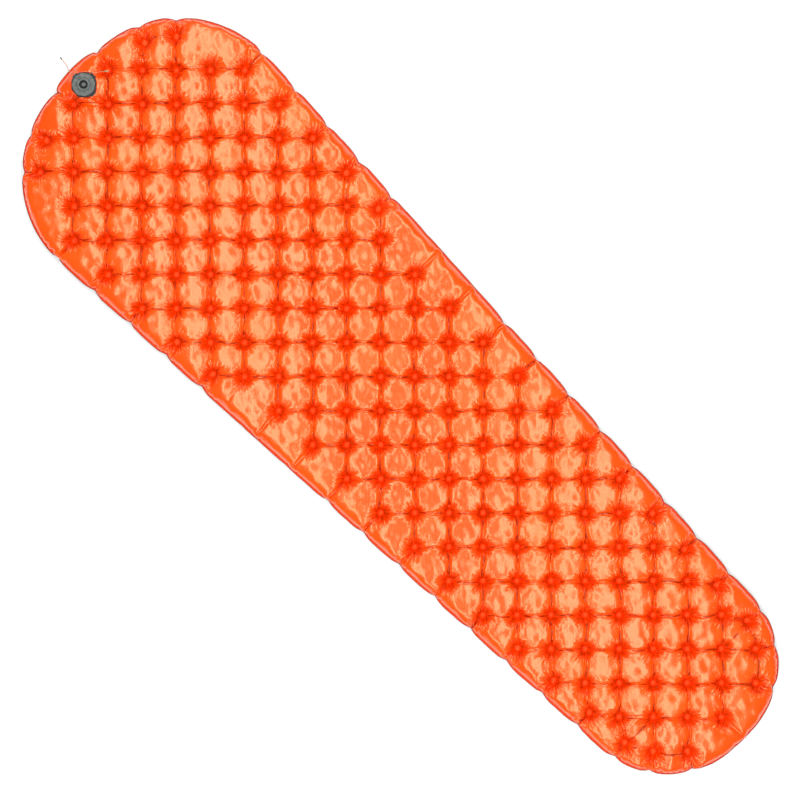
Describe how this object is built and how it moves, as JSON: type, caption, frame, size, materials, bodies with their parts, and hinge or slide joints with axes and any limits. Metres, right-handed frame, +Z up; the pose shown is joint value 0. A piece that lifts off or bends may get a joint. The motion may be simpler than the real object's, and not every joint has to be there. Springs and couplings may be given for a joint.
{
  "type": "inflatable sleeping pad",
  "caption": "Mummy-shaped inflatable camping pad with a lattice of spot welds, an insulating layer, a two-cap air valve with a release button and a tag string.",
  "frame": {"origin": "under the middle of the pad's length and width, on the floor plane the pad lies on", "axes": "+Y towards the head end with the valve, +X to the right seen from above with the head up, +Z up"},
  "size_m": [0.5648, 1.8669, 0.0613],
  "materials": {
    "sheet_top": "satin coated woven",
    "sheet_bottom": "matt coated woven",
    "wadding": "lofted fibre",
    "film_weld": "fused film",
    "valve_plastic": "moulded",
    "cap_plastic": "moulded, fine texture",
    "gasket_rubber": "smooth",
    "strap_rubber": "moulded",
    "button_plastic": "moulded",
    "tag_string": "twisted thread",
    "bead_plastic": "moulded",
    "crimp_plastic": "moulded"
  },
  "bodies": {
    "pad": {"top_sheet": "sheet_top", "bottom_sheet": "sheet_bottom", "insulation_layer": "wadding", "seam_weld": "film_weld", "weld_spots": "film_weld", "valve_base": "valve_plastic", "neck_gasket": "gasket_rubber", "deflate_strap": "strap_rubber", "tag_knot": "tag_string", "tag_loop": "tag_string", "tag_long_tail": "tag_string", "tag_short_tail": "tag_string", "long_tail_bead": "bead_plastic", "short_tail_crimp": "crimp_plastic"},
    "deflate_cap": {"deflate_cap": "cap_plastic", "valve_seat": "valve_plastic", "inflate_strap": "strap_rubber"},
    "inflate_cap": {"inflate_cap": "cap_plastic"},
    "release_button": {"release_button": "button_plastic", "flap_membrane": "gasket_rubber"}
  },
  "joints": [
    {"name": "deflate_cap_hinge", "type": "hinge", "parent": "pad", "child": "deflate_cap", "pos_m": [-0.007, 0.8426, 0.0563], "axis": [1, 0, 0], "range_deg": [0, 110]},
    {"name": "inflate_cap_hinge", "type": "hinge", "parent": "deflate_cap", "child": "inflate_cap", "pos_m": [-0.007, 0.8924, 0.0592], "axis": [-1, 0, 0], "range_deg": [0, 150]},
    {"name": "release_button_press", "type": "slide", "parent": "deflate_cap", "child": "release_button", "axis": [0, 0, -1], "range_m": [0, 0.0024], "stiffness_N_per_m": 400}
  ]
}
